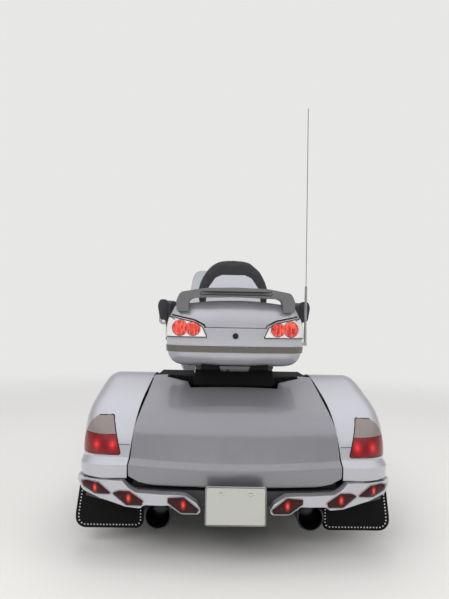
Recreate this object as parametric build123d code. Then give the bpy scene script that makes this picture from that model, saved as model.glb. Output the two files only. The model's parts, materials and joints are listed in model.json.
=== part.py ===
from build123d import *
import os
from math import cos, radians, sin

# A three-wheeled touring motorcycle. Millimetres: X right, Y forward, Z up.
# The origin is on the ground under the middle of the vehicle's length and width.

# Driving dimensions: stance
FRONT_AXLE_Y = 1089
REAR_AXLE_Y = -651
AXLE_Z = 320
WHEEL_X = 520
TYRE_RADIUS = 320
FRONT_TYRE_WIDTH = 130
REAR_TYRE_WIDTH = 205
FRONT_RIM_RADIUS = 226
REAR_RIM_RADIUS = 190
HALF_WIDTH = 675

# Driving dimensions: steering
RAKE = 29.25
TRAIL = 109
FORK_X = 112
FORK_OFFSET = 61
FORK_TUBE = 45
SLIDER_TUBE = 58
YOKE_LOW = 790
YOKE_TOP = 1018
BAR_HEIGHT = 1048
BAR_TUBE = 25
DISC_RADIUS = 148

# Driving dimensions: rear body and luggage
SKIN = 8
ARCH_RADIUS = 305
LID_FRONT_Y = -811
LID_THICK = 22
LID_GAP = 6
LID_AXIS_Z = 688
TUB_REAR_Y = -1284
TUB_FLOOR_Z = 236
TRUNK_REAR_Y = -1102
TRUNK_FRONT_Y = -700
TRUNK_SEAM_Z = 953
TRUNK_AXIS_Y = -708
TRUNK_AXIS_Z = 1040
TRUNK_WALL = 7
FLAP_FLOOR = 66
FLAP_Y = -1172
PLATE_Y = -1409
PLATE_HOLE_X = 60
PLATE_HOLE_Z = 294
LIGHT_BLOCK_REAR_Y = -984
SEAT_BASE_Z = 730
EXHAUST_X = 322
EXHAUST_Z = 161
EXHAUST_DIA = 115

STEER_FOOT = Vector(0, FRONT_AXLE_Y + TRAIL, 0)
STEER_UP = Vector(0, -sin(radians(RAKE)), cos(radians(RAKE)))


# Shape helpers
def outline(points, radius=0):
    if radius == 0:
        return make_face(Polyline(*points, close=True))
    return make_face(FilletPolyline(*points, radius=radius, close=True))


def along_x(points, x_from, x_to, radius=0):
    face = outline([(x_from, y, z) for y, z in points], radius)
    return extrude(face, x_to - x_from, dir=(1, 0, 0))


def along_y(points, y_from, y_to, radius=0):
    face = outline([(x, y_from, z) for x, z in points], radius)
    return extrude(face, y_to - y_from, dir=(0, 1, 0))


def along_z(points, z_from, z_to, radius=0):
    face = outline([(x, y, z_from) for x, y in points], radius)
    return extrude(face, z_to - z_from, dir=(0, 0, 1))


def block(x_from, x_to, y_from, y_to, z_from, z_to):
    centre = Pos((x_from + x_to) / 2, (y_from + y_to) / 2, (z_from + z_to) / 2)
    return centre * Box(x_to - x_from, y_to - y_from, z_to - z_from)


def rod(start, end, diameter):
    start, end = Vector(*start), Vector(*end)
    plane = Plane(origin=start, z_dir=end - start)
    return extrude(plane * Circle(diameter / 2), (end - start).length)


def pin(x_from, x_to, y, z, diameter):
    return rod((x_from, y, z), (x_to, y, z), diameter)


def tube(points, bend, diameter):
    path = FilletPolyline(*points, radius=bend)
    start = Plane(origin=path @ 0, z_dir=path % 0)
    return sweep(start * Circle(diameter / 2), path=path)


def left(shape):
    return mirror(shape, about=Plane.YZ)


def both_sides(shape):
    return shape + left(shape)


def full_outline(right_half):
    # an outline given for the right half, closed with its mirror image
    return right_half + [(-x, other) for x, other in reversed(right_half) if x > 0]


def across(right_half):
    # an open line from left to right, given from the centre to the right
    return [(-x, other) for x, other in reversed(right_half) if x > 0] + right_half


# Rear body: fenders from sections that fan out around the axle
FENDER_SECTIONS = [
    # angle from forward, radius, inner x, tuck in from the half width, shoulder radius
    (-12, 425, 408, 15, 60),
    (45, 415, 408, 3, 70),
    (90, 380, 408, 0, 72),
    (113, 409, 410, 0, 90),
    (141, 507, 420, 0, 105),
    (156, 607, 431, 2, 120),
    (166, 650, 440, 5, 140),
    (172.5, 657, 448, 8, 150),
]
FENDER_BELT = [
    # the same columns, for the belt below the tail lamps
    (172.5, 657, 448, 8, 150),
    (175, 677, 452, 0, 150),
    (179.5, 672, 452, 4, 146),
]
TAIL_LAMP = [(481, 414), (531, 568), (720, 556), (720, 409)]
TAIL_LAMP_FRONT_Y = -1198
TAIL_LAMP_SPLIT_Z = 494


def fan_section(row, grow, thick):
    angle, radius, inner, tuck, shoulder = row
    top, side = radius + grow, HALF_WIDTH - tuck + grow
    plane = Plane(
        origin=(0, REAR_AXLE_Y, AXLE_Z), x_dir=(1, 0, 0), z_dir=(0, -sin(radians(angle)), cos(radians(angle))),
    )
    line = Polyline((inner, top), (side - shoulder, top))
    corner = RadiusArc((side - shoulder, top), (side, top - shoulder), shoulder)
    drop = Polyline(
        (side, top - shoulder), (side, ARCH_RADIUS), (side - thick, ARCH_RADIUS), (side - thick, top - shoulder),
    )
    inside = RadiusArc((side - thick, top - shoulder), (side - shoulder, top - thick), thick - shoulder)
    back = Polyline((side - shoulder, top - thick), (inner, top - thick), (inner, top))
    return plane * make_face([line, corner, drop, inside, back])


def fender_skin(grow, thick):
    return loft([fan_section(row, grow, thick) for row in FENDER_SECTIONS])


def fender():
    belt = loft([fan_section(row, 0, SKIN) for row in FENDER_BELT], ruled=True)
    lamp_hole = along_y(TAIL_LAMP, -1400, TAIL_LAMP_FRONT_Y, 12)
    hinge_pin = pin(386.5, 414, LID_FRONT_Y - 4, LID_AXIS_Z, 10)
    return fender_skin(0, SKIN) - lamp_hole + belt + hinge_pin


def tail_lamp():
    gap = 3
    points = [(x + gap, z + gap if z < TAIL_LAMP_SPLIT_Z else z - gap) for x, z in TAIL_LAMP]
    window = along_y(points, -1400, TAIL_LAMP_FRONT_Y - gap, 9)
    lens = fender_skin(1, SKIN + 6) & window
    red = lens & block(400, 760, -1400, -1100, 400, TAIL_LAMP_SPLIT_Z - 1)
    clear = lens & block(400, 760, -1400, -1100, TAIL_LAMP_SPLIT_Z + 1, 600)
    return red + clear


# Rear body: boot
LID_SIDE = [
    (-811, 698), (-1045, 636), (-1205, 572), (-1272, 520), (-1303, 406), (-1326, 381), (-1322, 300), (-811, 300),
]
LID_CENTRE = [
    (-811, 712), (-1045, 660), (-1222, 600), (-1310, 520), (-1347, 394), (-1370, 369), (-1354, 298), (-811, 298),
]
LID_ROUND = [0, 500, 150, 100, 10, 12, 14, 0]
COWL = [(192, LIGHT_BLOCK_REAR_Y), (206, -912), (322, -838), (322, -790)]


def lid_volume():
    sections = []
    for x, points in ((-460, LID_SIDE), (0, LID_CENTRE), (460, LID_SIDE)):
        line = FilletPolyline(*[(x, y, z) for y, z in points], radius=LID_ROUND, close=True)
        sections.append(make_face(line))
    return loft(sections)


def lid_trim(gap):
    plan = full_outline([
        (408 - gap, LID_FRONT_Y + 20), (412 - gap, -1045), (425 - gap, -1205), (440 - gap, -1280), (452 - gap, -1333),
        (452 - gap, -1450),
    ])
    rear = full_outline([(460, 900), (460, 360), (442, 334), (400, 314), (330, 300), (300, 280)])
    return along_z(plan, 200, 800) & along_y(rear, -1450, -700)


def boot_lid(volume):
    skin = volume - Pos(0, LID_THICK, -LID_THICK) * volume
    notch = along_z(full_outline([(210, -1008), (226, -922), (336, -846), (336, -780)]), 600, 800)
    lid = (skin & lid_trim(5)) - notch
    return lid - both_sides(pin(380, 420, LID_FRONT_Y - 4, LID_AXIS_Z, 10.6))


def boot_tub(volume):
    plan = full_outline([(396, LID_FRONT_Y + 5), (396, -985), (430, -1012), (430, TUB_REAR_Y)])
    inside = full_outline([(388, LID_FRONT_Y - 3), (388, -989), (422, -1016), (422, TUB_REAR_Y + SKIN)])
    room = Pos(0, LID_THICK + LID_GAP, -LID_THICK - LID_GAP) * volume
    room += block(-430, 430, LID_FRONT_Y - 1, LID_FRONT_Y + 60, 200, 640)
    room += block(-440, 440, TUB_REAR_Y - 10, LID_FRONT_Y + 10, 200, 300)
    box = along_z(plan, TUB_FLOOR_Z, 760) - along_z(inside, TUB_FLOOR_Z + SKIN, 760)
    return box & room


def rear_deck():
    outer = [(-803, 690), (-474, 690), (-353, 560), (-353, 300), (-345, 300), (-345, 563), (-470, 698), (-803, 698)]
    shape = along_x(outer, -394, 394, [1, 12, 12, 2, 2, 20, 20, 6])
    shape -= both_sides(rod((240, -400, 400), (240, -300, 400), 41))
    return shape - block(-215, 215, -640, -300, 290, 720)


# Rear body: bumper strips with their lamps, and the black moulding between
BUMPER_PLAN = [(0, -1388), (300, -1378), (450, -1350), (560, -1320), (640, -1272), (684, -1205)]
BUMPER_STRIP = [
    (680, 311), (466, 321), (440, 296), (408, 278), (253, 278), (205, 276), (156, 246), (138, 216),
    (152, 203), (220, 203), (268, 236), (370, 231), (390, 217), (446, 219), (510, 233), (656, 262), (684, 284),
]
BUMPER_ROUND = [10, 10, 20, 30, 60, 40, 30, 12, 8, 20, 20, 20, 12, 30, 60, 40, 12]
DIAMONDS = [
    # corner points of each lamp, from the outer lamp to the inner one
    [(512, 266), (566, 304), (626, 304), (658, 293), (648, 280), (585, 259)],
    [(505, 268), (478, 280), (434, 282), (376, 248), (382, 230), (444, 227)],
    [(148, 222), (156, 209), (219, 209), (273, 248), (273, 265), (210, 270)],
]
DIAMOND_ROUND = 5


def bumper_band(proud, thick):
    # the strip along the bumper's curve in plan, from proud of its face to thick behind it
    outer = [(x, y - proud) for x, y in BUMPER_PLAN]
    inner = [(x, y + thick) for x, y in BUMPER_PLAN]
    return along_z(across(outer) + list(reversed(across(inner))), 100, 400)


def diamond_prisms():
    shapes = [along_y(points, -1450, -1100, DIAMOND_ROUND) for points in DIAMONDS]
    return shapes[0] + shapes[1] + shapes[2]


def bumper():
    strip = along_y(BUMPER_STRIP, -1450, -1150, BUMPER_ROUND) & bumper_band(0, 44)
    return both_sides(strip - (diamond_prisms() & bumper_band(2, 14)))


def bumper_lamps():
    return both_sides(diamond_prisms() & bumper_band(3, 14))


def plate_bracket():
    beam = bumper_band(-44, 104) & block(-640, 640, -1450, -1100, 222, 284)
    pad = block(-118, 118, PLATE_Y + 4, -1378, 180, 312)
    shape = beam + pad + block(-118, 118, -1380, -1336, 200, 284)
    for x in (-PLATE_HOLE_X, PLATE_HOLE_X):
        shape -= rod((x, PLATE_Y, PLATE_HOLE_Z), (x, -1370, PLATE_HOLE_Z), 7)
    return shape - block(-430, 430, TUB_REAR_Y, -1100, 200, 400)


def number_plate():
    plate = along_y([(-122, 168), (122, 168), (122, 322), (-122, 322)], PLATE_Y, PLATE_Y + 4, 10)
    for x in (-PLATE_HOLE_X, PLATE_HOLE_X):
        plate -= rod((x, PLATE_Y - 10, PLATE_HOLE_Z), (x, PLATE_Y + 10, PLATE_HOLE_Z), 7)
    return plate


def mud_flaps():
    flap = along_y([
        (395, FLAP_FLOOR), (697, FLAP_FLOOR), (694, 136), (674, 300), (448, 300), (448, 226), (395, 226),
    ], FLAP_Y - 6, FLAP_Y, [34, 46, 60, 6, 6, 16, 6])
    beam = bumper_band(0, 104) & block(380, 640, -1450, -1100, 222, 284)
    strip = bumper_band(0, 44) & block(380, 720, -1450, -1100, 255, 320)
    return both_sides(flap - beam - strip)


# Top box
TRUNK_PLAN = [(130, TRUNK_REAR_Y), (286, -1076), (333, -1010), (306, -760), (240, TRUNK_FRONT_Y)]
TRUNK_CORNERS = [240, 70, 70, 60, 50, 50, 60, 70, 70, 240]
TRUNK_LOW = [(772, 60), (816, 12), (895, 0), (TRUNK_SEAM_Z, 3)]
TRUNK_HIGH = [(TRUNK_SEAM_Z, 3), (1010, 14), (1052, 32), (1090, 58)]
TRUNK_CROWN = [(345, 1046), (0, 1084)]
LAMP_WINDOW = [(124, 902), (150, 962), (196, 986), (304, 1009), (360, 1016), (360, 902)]
LAMP_FRONT_Y = -1002


def trunk_section(z, inset):
    points = []
    for x, y in full_outline(TRUNK_PLAN):
        side = 1 if x > 0 else -1
        end = 1 if y > (TRUNK_REAR_Y + TRUNK_FRONT_Y) / 2 else -1
        points.append((x - side * inset, y - end * inset, z))
    return outline(points, TRUNK_CORNERS)


def trunk_volume(levels, inset):
    return loft([trunk_section(z, pull + inset) for z, pull in levels])


def under_crown(drop):
    (side_x, side_z), (middle_x, middle_z) = TRUNK_CROWN
    start, base = -1300, 600
    left_end = (-side_x, start, side_z - drop)
    right_end = (side_x, start, side_z - drop)
    crown = ThreePointArc(left_end, (middle_x, start, middle_z - drop), right_end)
    rest = Polyline(right_end, (side_x, start, base), (-side_x, start, base), left_end)
    return extrude(make_face([crown, rest]), 700, dir=(0, 1, 0))


def trunk_shells():
    low = trunk_volume(TRUNK_LOW, 0)
    low_room = trunk_volume([(804, 66), (824, 16), (895, 0), (TRUNK_SEAM_Z, 3)], TRUNK_WALL)
    high = trunk_volume(TRUNK_HIGH, 0) & under_crown(0)
    high_room = trunk_volume(TRUNK_HIGH, TRUNK_WALL) & under_crown(TRUNK_WALL + 2)
    return low, low - low_room, high, high - high_room


def lamp_window(grow, front):
    points = [(x - grow, z - grow if z < 950 else z + grow) for x, z in LAMP_WINDOW]
    return both_sides(along_y(points, -1300, front))


def trunk_box(low_shell, high_shell):
    shape = low_shell + (high_shell & lamp_window(0, LAMP_FRONT_Y))
    for x_from, x_to in ((-218, -204), (-168, -154), (154, 168), (204, 218)):
        shape += block(x_from, x_to, TRUNK_AXIS_Y - 6, TRUNK_AXIS_Y + 6, 930, TRUNK_AXIS_Z)
        shape += pin(x_from, x_to, TRUNK_AXIS_Y, TRUNK_AXIS_Z, 14)
    for x in (-186, 186):
        shape += pin(x - 32, x + 32, TRUNK_AXIS_Y, TRUNK_AXIS_Z, 6)
    return shape - rail_beds()


def rail_beds():
    # room for the frame's rails and their cross tube under the top box
    return both_sides(rod((170, -1030, 768), (170, -700, 768), 34.4)) + pin(-180, 180, -1000, 768, 30.4)


def trunk_lid(high_shell):
    shape = high_shell - block(-400, 400, -1300, -600, 900, TRUNK_SEAM_Z + 3) - lamp_window(6, LAMP_FRONT_Y + 24)
    for x in (-186, 186):
        shape -= block(x - 36, x + 36, -728, -690, 940, TRUNK_AXIS_Z + 12)
        shape += block(x - 16, x + 16, -760, TRUNK_AXIS_Y, TRUNK_AXIS_Z - 6, TRUNK_AXIS_Z + 6)
        shape += pin(x - 16, x + 16, TRUNK_AXIS_Y, TRUNK_AXIS_Z, 14)
        shape -= pin(x - 20, x + 20, TRUNK_AXIS_Y, TRUNK_AXIS_Z, 6.6)
    return shape


def trunk_trim(low):
    band = trunk_volume([(838, 5), (868, 2)], -5) - low
    return band & block(-400, 400, -1300, -880, 800, 900)


def trunk_lamps(low, high):
    grown = trunk_volume([(890, 0), (TRUNK_SEAM_Z, 3)], -5) + trunk_volume([(TRUNK_SEAM_Z, 3), (1011, 14)], -5)
    return (grown & lamp_window(-3, LAMP_FRONT_Y - 3)) - low - high


def spoiler(high):
    front = full_outline([(0, 1142), (150, 1138), (264, 1120), (282, 1080), (280, 1030), (222, 1030), (222, 1084),
                          (196, 1096), (0, 1101)])
    blade = along_y(front, -1200, -900, [0, 200, 30, 20, 6, 6, 16, 20, 0, 20, 16, 6, 6, 20, 30, 200])
    plan = full_outline([(120, -1118), (286, -1072), (286, -985), (120, -1020)])
    shape = blade & along_z(plan, 1000, 1200)
    slot = along_y([(-170, 1104), (170, 1104), (170, 1124), (-170, 1124)], -1130, -1100, 8)
    return shape - slot - high


def trunk_light_block(low):
    upper = along_x([(-1062, 758), (-1050, 800), (-740, 800), (-740, 748), (-1040, 748)], -158, 158)
    lower = block(-188, 188, LIGHT_BLOCK_REAR_Y, -824, 672, 748)
    cowl = along_z(full_outline(COWL), 672, 706) - block(-330, 330, -818, -780, 660, 698)
    lens_seat = along_y([(-80, 774), (-68, 746), (68, 746), (80, 774)], -1090, -1056)
    return upper + lower + cowl - lens_seat - rail_beds() - low


# Wheels
def tyre(width, rim_radius):
    half = width / 2
    bead = rim_radius - 4
    right = [
        (half - 16, bead),
        (half - 3, bead + 30),
        (half, (rim_radius + TYRE_RADIUS) / 2),
        (half - 8, TYRE_RADIUS - 24),
        (half * 0.62, TYRE_RADIUS - 3),
    ]
    left_side = [(-x, r) for x, r in reversed(right)]
    section = make_face(Polyline(*right, (0, TYRE_RADIUS), *left_side, close=True))
    return revolve(section, Axis.X, 360)


def rim(width, rim_radius, hub_radius, spokes, spoke_angle, dish):
    # a barrel, a hub and a dished plate with rounded windows cut between the spokes
    half = width / 2 - 16
    barrel = [
        (-half, rim_radius - 6), (half, rim_radius - 6), (half, rim_radius - 18),
        (half - 22, rim_radius - 28), (22 - half, rim_radius - 28), (-half, rim_radius - 18),
    ]
    plate = [
        (dish - 34, hub_radius - 8), (dish + 14, hub_radius - 8), (dish + 18, hub_radius + 10),
        (dish + 2, rim_radius - 27), (dish - 16, rim_radius - 27), (dish - 12, hub_radius + 16),
    ]
    shape = revolve(outline(barrel), Axis.X, 360) + revolve(outline(plate), Axis.X, 360)
    shape += extrude(Plane.YZ.offset(dish - 40) * Circle(hub_radius), 60)
    low, high = hub_radius + 14, rim_radius - 34
    spread = radians(180 / spokes - spoke_angle)
    corners = [
        (low * cos(turn), low * sin(turn)) for turn in (-spread * 0.72, spread * 0.72)
    ] + [(high * cos(turn), high * sin(turn)) for turn in (spread, -spread)]
    face = outline([(dish - 60, a, b) for a, b in corners], [10, 10, 16, 16])
    window = extrude(face, 120, dir=(1, 0, 0))
    for number in range(spokes):
        shape -= Rot(360 * number / spokes, 0, 0) * window
    return shape


def rear_rim():
    shape = rim(REAR_TYRE_WIDTH, REAR_RIM_RADIUS, 62, 5, 11, 40)
    shape -= extrude(Plane.YZ.offset(52) * Circle(44), 20)
    return shape - extrude(Plane.YZ.offset(-60) * Circle(25.3), 100)


def front_rim():
    shape = rim(FRONT_TYRE_WIDTH, FRONT_RIM_RADIUS, 42, 5, 9, 2)
    shape += extrude(Plane.YZ.offset(-58) * Circle(36), 116)
    return shape - extrude(Plane.YZ.offset(-70) * Circle(12.6), 140)


def front_discs():
    ring = Plane.YZ.offset(62) * (Circle(DISC_RADIUS) - Circle(108))
    disc = extrude(ring, 5) + extrude(Plane.YZ.offset(58) * (Circle(54) - Circle(36.5)), 9)
    for number in range(5):
        turn = Rot(72 * number, 0, 0)
        disc += turn * block(60, 66, -9, 9, 46, 112)
        disc -= turn * (Pos(60, 0, 128) * Rot(0, 90, 0) * Cylinder(7, 30))
        disc -= Rot(36, 0, 0) * turn * (Pos(60, 0, 128) * Rot(0, 90, 0) * Cylinder(7, 30))
    return both_sides(disc)


# Steering: fork, axle, fender, bars
def steer_point(height, side, forward):
    # a point beside the steering axis: height along it from the ground, forward square to it
    ahead = Vector(0, cos(radians(RAKE)), sin(radians(RAKE)))
    return STEER_FOOT + STEER_UP * height + Vector(side, 0, 0) + ahead * forward


def axle_height():
    return (Vector(0, FRONT_AXLE_Y, AXLE_Z) - STEER_FOOT).dot(STEER_UP)


def fork():
    low = axle_height()
    shape = pin(-FORK_X, FORK_X, FRONT_AXLE_Y, AXLE_Z, 25)
    for side in (-FORK_X, FORK_X):
        for start, end, diameter in (
            (low - 42, low + 46, SLIDER_TUBE + 6), (low + 46, low + 330, SLIDER_TUBE), (low + 312, low + 334, 66),
            (low + 334, YOKE_TOP + 4, FORK_TUBE),
        ):
            shape += rod(steer_point(start, side, FORK_OFFSET), steer_point(end, side, FORK_OFFSET), diameter)
    return shape


def triple_clamps():
    shape = rod(steer_point(YOKE_LOW, 0, 0), steer_point(YOKE_TOP, 0, 0), 32)
    for height, thick in ((YOKE_LOW, 34), (YOKE_TOP - 26, 26)):
        plane = Plane(origin=steer_point(height, 0, FORK_OFFSET / 2), x_dir=(1, 0, 0), z_dir=STEER_UP)
        shape += extrude(plane * RectangleRounded(2 * FORK_X + 74, 104, 34), thick)
    for side in (-50, 50):
        shape += rod(steer_point(YOKE_TOP - 10, side, 0), steer_point(BAR_HEIGHT, side, 0), 30)
    for side in (-FORK_X, FORK_X):
        shape -= rod(steer_point(700, side, FORK_OFFSET), steer_point(1100, side, FORK_OFFSET), FORK_TUBE)
    return shape - bar_tube()


def front_fender():
    outer = TYRE_RADIUS + 26
    right = [(30, outer), (60, outer - 10), (78, outer - 50), (72, outer - 92), (67, outer - 92), (72, outer - 52),
             (56, outer - 15), (28, outer - 5)]
    section = outline(right + [(-x, r) for x, r in reversed(right)], [
        20, 20, 20, 2, 2, 18, 16, 18, 18, 16, 18, 2, 2, 20, 20, 20,
    ])
    shape = Pos(0, FRONT_AXLE_Y, AXLE_Z) * revolve(Rot(8, 0, 0) * section, Axis.X, 172)
    for side in (-1, 1):
        foot = steer_point(axle_height() + 286, side * 74, FORK_OFFSET)
        shape += pin(side * 74, side * 86, foot.Y, foot.Z, 34)
    return shape - fork_tubes()


def fork_tubes():
    low = axle_height()
    right = rod(steer_point(low - 60, FORK_X, FORK_OFFSET), steer_point(low + 330, FORK_X, FORK_OFFSET), SLIDER_TUBE)
    return both_sides(right)


def front_calipers():
    # an arc of casting astride each disc, bolted to the fork slider behind the axle
    body = extrude(Plane.YZ.offset(42) * (Circle(172) - Circle(88)), 46)
    sector = along_x([(0, 0), (-260, 20), (-260, 190), (-120, 230)], 30, 100)
    slot = extrude(Plane.YZ.offset(57) * Circle(DISC_RADIUS + 6), 15)
    caliper = Pos(0, FRONT_AXLE_Y, AXLE_Z) * (body & sector - slot)
    return both_sides(caliper) - fork_tubes()


def across_points(right):
    return [(-x, y, z) for x, y, z in reversed(right) if x > 0] + right


def bar_tube():
    clamp = steer_point(BAR_HEIGHT, 0, 0)
    right = [(90, clamp.Y, clamp.Z), (160, 655, 1000), (300, 560, 1020), (395, 372, 985)]
    return tube(across_points(right), [60, 50, 40, 40, 50, 60], BAR_TUBE)


def handlebar():
    # the bar with the clutch and brake levers on their perches
    perch = rod((322, 522, 1012), (334, 501, 1008), 34)
    lever = rod((326, 512, 1010), (352, 532, 1008), 14) + rod((352, 532, 1008), (408, 400, 984), 9)
    return bar_tube() + both_sides(perch + lever)


def handlebar_grips():
    grip = rod((336, 489, 1007), (398, 366, 984), 36)
    return both_sides(grip) - bar_tube()


# Frame, engine, axle
def main_frame():
    spar = along_x([
        (660, 740), (660, 800), (560, 812), (260, 690), (-150, 560), (-150, 330), (-50, 330), (260, 540), (560, 730),
    ], 120, 156, 16)
    under_seat = SEAT_BASE_Z - 17
    rail = tube([
        (138, 120, 630), (160, -20, under_seat), (170, -520, under_seat), (170, -700, 768), (170, -1020, 768),
    ], [120, 200, 200], 34)
    post = rod((150, -140, 540), (164, -300, SEAT_BASE_Z - 20), 28)
    low_rail = tube([(138, -100, 400), (240, -260, 400), (240, -780, 400)], 60, 40)
    engine_lug = block(112, 124, 250, 330, 574, 598)
    shape = both_sides(spar + rail + post + low_rail + engine_lug)
    shape += block(-156, 156, 600, 655, 740, 798)
    shape += block(-40, 40, 640, 735, 752, 798)
    shape += rod(steer_point(YOKE_LOW + 40, 0, 0), steer_point(YOKE_TOP - 32, 0, 0), 68)
    shape -= rod(steer_point(YOKE_LOW, 0, 0), steer_point(YOKE_TOP, 0, 0), 32.4)
    for x, y, z, diameter in ((138, -100, 470, 44), (165, -380, under_seat, 28), (170, -1000, 768, 30),
                              (240, -770, 400, 30)):
        shape += pin(-x, x, y, z, diameter)
    for y, z in ((-60, 500), (90, 560)):
        shape += pin(-214, 214, y, z, 18) - block(-130, 130, y - 12, y + 12, z - 12, z + 12)
    return shape


def rear_axle():
    shape = pin(-400, 400, REAR_AXLE_Y, AXLE_Z, 84)
    shape += pin(-WHEEL_X - 14, WHEEL_X + 14, REAR_AXLE_Y, AXLE_Z, 50)
    shape += Pos(0, REAR_AXLE_Y, AXLE_Z) * Sphere(108)
    shape += pin(-70, 70, REAR_AXLE_Y, AXLE_Z, 150)
    shape += rod((0, REAR_AXLE_Y, AXLE_Z), (0, -110, AXLE_Z + 30), 76)
    shape += both_sides(along_x([(-700, 320), (-600, 320), (-620, 380), (-680, 380)], 225, 255))
    return shape


def engine_block():
    return along_x([
        (120, 300), (190, 230), (640, 230), (700, 310), (690, 540), (560, 600), (240, 600), (120, 520),
    ], -112, 112, 24)


def engine_heads():
    # a bank of finned cylinders each side under a ribbed rocker cover
    barrel = along_x([(206, 306), (644, 306), (644, 500), (206, 500)], 112, 250, 20)
    for x in (140, 164, 188, 212):
        barrel += along_x([(200, 298), (654, 298), (654, 506), (200, 506)], x, x + 9, 30)
    cover = along_x([(190, 290), (660, 290), (660, 515), (190, 515)], 236, 362, 60)
    cover = fillet(cover.faces().sort_by(Axis.X)[-1].edges(), 30)
    for z in (352, 394, 436):
        cover -= block(352, 370, 240, 610, z, z + 16)
    return both_sides(barrel + cover)


def exhaust():
    radius = EXHAUST_DIA / 2
    profile = [
        (-1291, radius - 6), (-1285, radius), (-560, radius), (-430, 30), (-430, 0), (-1150, 0), (-1150, radius - 7),
        (-1291, radius - 7),
    ]
    half_section = outline([(x, r, 0) for x, r in profile])
    can = Pos(EXHAUST_X, 0, EXHAUST_Z) * Rot(0, 0, 90) * revolve(half_section, Axis.X, 360)
    pipe = tube([
        (EXHAUST_X, -440, EXHAUST_Z), (EXHAUST_X, -160, EXHAUST_Z), (200, 60, 185), (200, 560, 185), (200, 600, 310),
    ], [120, 60, 40], 48)
    return both_sides(can + pipe) - both_sides(block(112, 362, 190, 660, 290, 520))


def engine_guards():
    hoop = tube([
        (90, 680, 330), (150, 726, 330), (395, 726, 330), (395, 726, 540), (150, 726, 540), (90, 660, 540),
    ], [30, 60, 60, 30], 28)
    return both_sides(hoop) - engine_block()


def foot_boards():
    board = along_z([(250, -60), (370, -60), (376, -110), (376, -280), (360, -320), (250, -320)], 330, 346, 12)
    for y in (-280, -230, -180, -130):
        board += block(262, 362, y, y + 20, 346, 351)
    board += pin(156, 300, -130, 338, 30)
    rider_peg = pin(172, 360, 40, 330, 36) + rod((172, 40, 330), (172, 40, 490), 24)
    rider_peg += pin(156, 172, 40, 480, 24)
    return both_sides(board) + both_sides(rider_peg)


# Seats
def seat_form(side, plan, radius):
    return along_x(side, -300, 300, radius) & along_z(plan, 600, 1200, 30)


def passenger_seat():
    side = [
        (-600, 790), (-490, SEAT_BASE_Z + 0.4), (-180, SEAT_BASE_Z + 0.4), (-180, 858), (-260, 884), (-600, 896),
    ]
    plan = full_outline([(170, -600), (204, -420), (196, -180)])
    return seat_form(side, plan, [10, 20, 8, 20, 40, 20])


def rider_seat():
    side = [
        (-176, SEAT_BASE_Z + 0.4), (284, SEAT_BASE_Z + 0.4), (280, 764), (120, 758), (-60, 764), (-140, 800),
        (-176, 872),
    ]
    plan = full_outline([(190, -176), (196, -60), (120, 150), (84, 284)])
    return seat_form(side, plan, [6, 6, 12, 100, 60, 40, 12])


def backrest_pad():
    dome = full_outline([(0, 1338), (90, 1328), (158, 1272), (208, 1160), (160, 900)])
    return along_y(dome, -642, -570, [100, 60, 70, 90, 30, 30, 90, 70, 60])


def backrest_shell(low):
    rear = TRUNK_FRONT_Y + 3
    shell = along_y(full_outline([
        (64, 1243), (100, 1226), (140, 1166), (152, 1080), (150, 900),
    ]), rear, -642, [30, 20, 30, 60, 4, 4, 60, 30, 20, 30])
    shell &= along_x([(rear, 890), (rear, 1090), (rear + 34, 1250), (-642, 1250), (-642, 890)], -200, 200, [2, 90, 2, 2, 2])
    foot = block(-140, 140, TRUNK_FRONT_Y - 6, rear + 1, 900, 944)
    return shell + foot - low


def antenna(low, trim):
    mast = rod((350, -960, 880), (350, -960, 948), 14)
    mast += rod((350, -960, 948), (352, -960, 1165), 12)
    mast += rod((352, -960, 1165), (354, -960, 2068), 4)
    mast += block(300, 357, -971, -949, 872, 886)
    return mast - low - trim


def armrests(low, high):
    arm = along_y([(340, 990), (336, 1078), (350, 1097), (384, 1097), (396, 1068), (380, 985)], -860, -500, 12)
    arm += along_y([(300, 1000), (296, 1070), (310, 1094), (360, 1094), (360, 1000)], -690, -500, 10)
    arm += block(300, 350, -860, -780, 880, 942) + block(340, 350, -860, -780, 940, 1010)
    return both_sides(arm) - low - high


def tank_cover():
    # crowned sections from the seat's nose to the steering head
    sections = []
    for y, half_width, top in ((290, 96, 786), (400, 116, 892), (520, 114, 900), (590, 96, 878)):
        half = full_outline([(half_width * 0.55, top), (half_width, top - 40), (half_width, 716)])
        sections.append(outline([(x, y, z) for x, z in half], [30, 26, 8, 8, 26, 30]))
    return loft(sections)


def side_covers():
    side = along_x([(-330, 650), (180, 650), (232, 560), (60, 420), (-200, 420), (-330, 500)], 200, 260, 40)
    bow = [(214, 240), (228, 60), (232, -60), (226, -200), (214, -340)]
    band = along_z(bow + [(x + 8, y) for x, y in reversed(bow)], 400, 700)
    return both_sides(side & band)


# Front bodywork: fairing lofted from plan outlines stacked in height
FAIRING_LEVELS = [
    # height, nose y, half width, rear y, flank bend y
    (560, 1010, 330, 640, 860),
    (700, 1110, 400, 610, 900),
    (800, 1160, 448, 640, 900),
    (900, 1110, 452, 700, 880),
    (985, 1000, 420, 760, 860),
    (1040, 930, 372, 800, 850),
]
FAIRING_WALL = 9
HEADLAMP = [(66, 812), (110, 776), (262, 800), (318, 872), (250, 876), (110, 848)]


def fairing_level(row, inset):
    height, nose, half_width, rear, bend = row
    half, nose = half_width - inset, nose - inset
    brow = bend + (nose - bend) * 0.78
    points = full_outline([(half * 0.24, nose), (half * 0.68, brow), (half, bend), (half, rear)])
    return outline([(x, y, height) for x, y in points], [60, 110, 60, 4, 4, 60, 110, 60])


def fairing_volume(inset):
    return loft([fairing_level(row, inset) for row in FAIRING_LEVELS], ruled=True)


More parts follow.
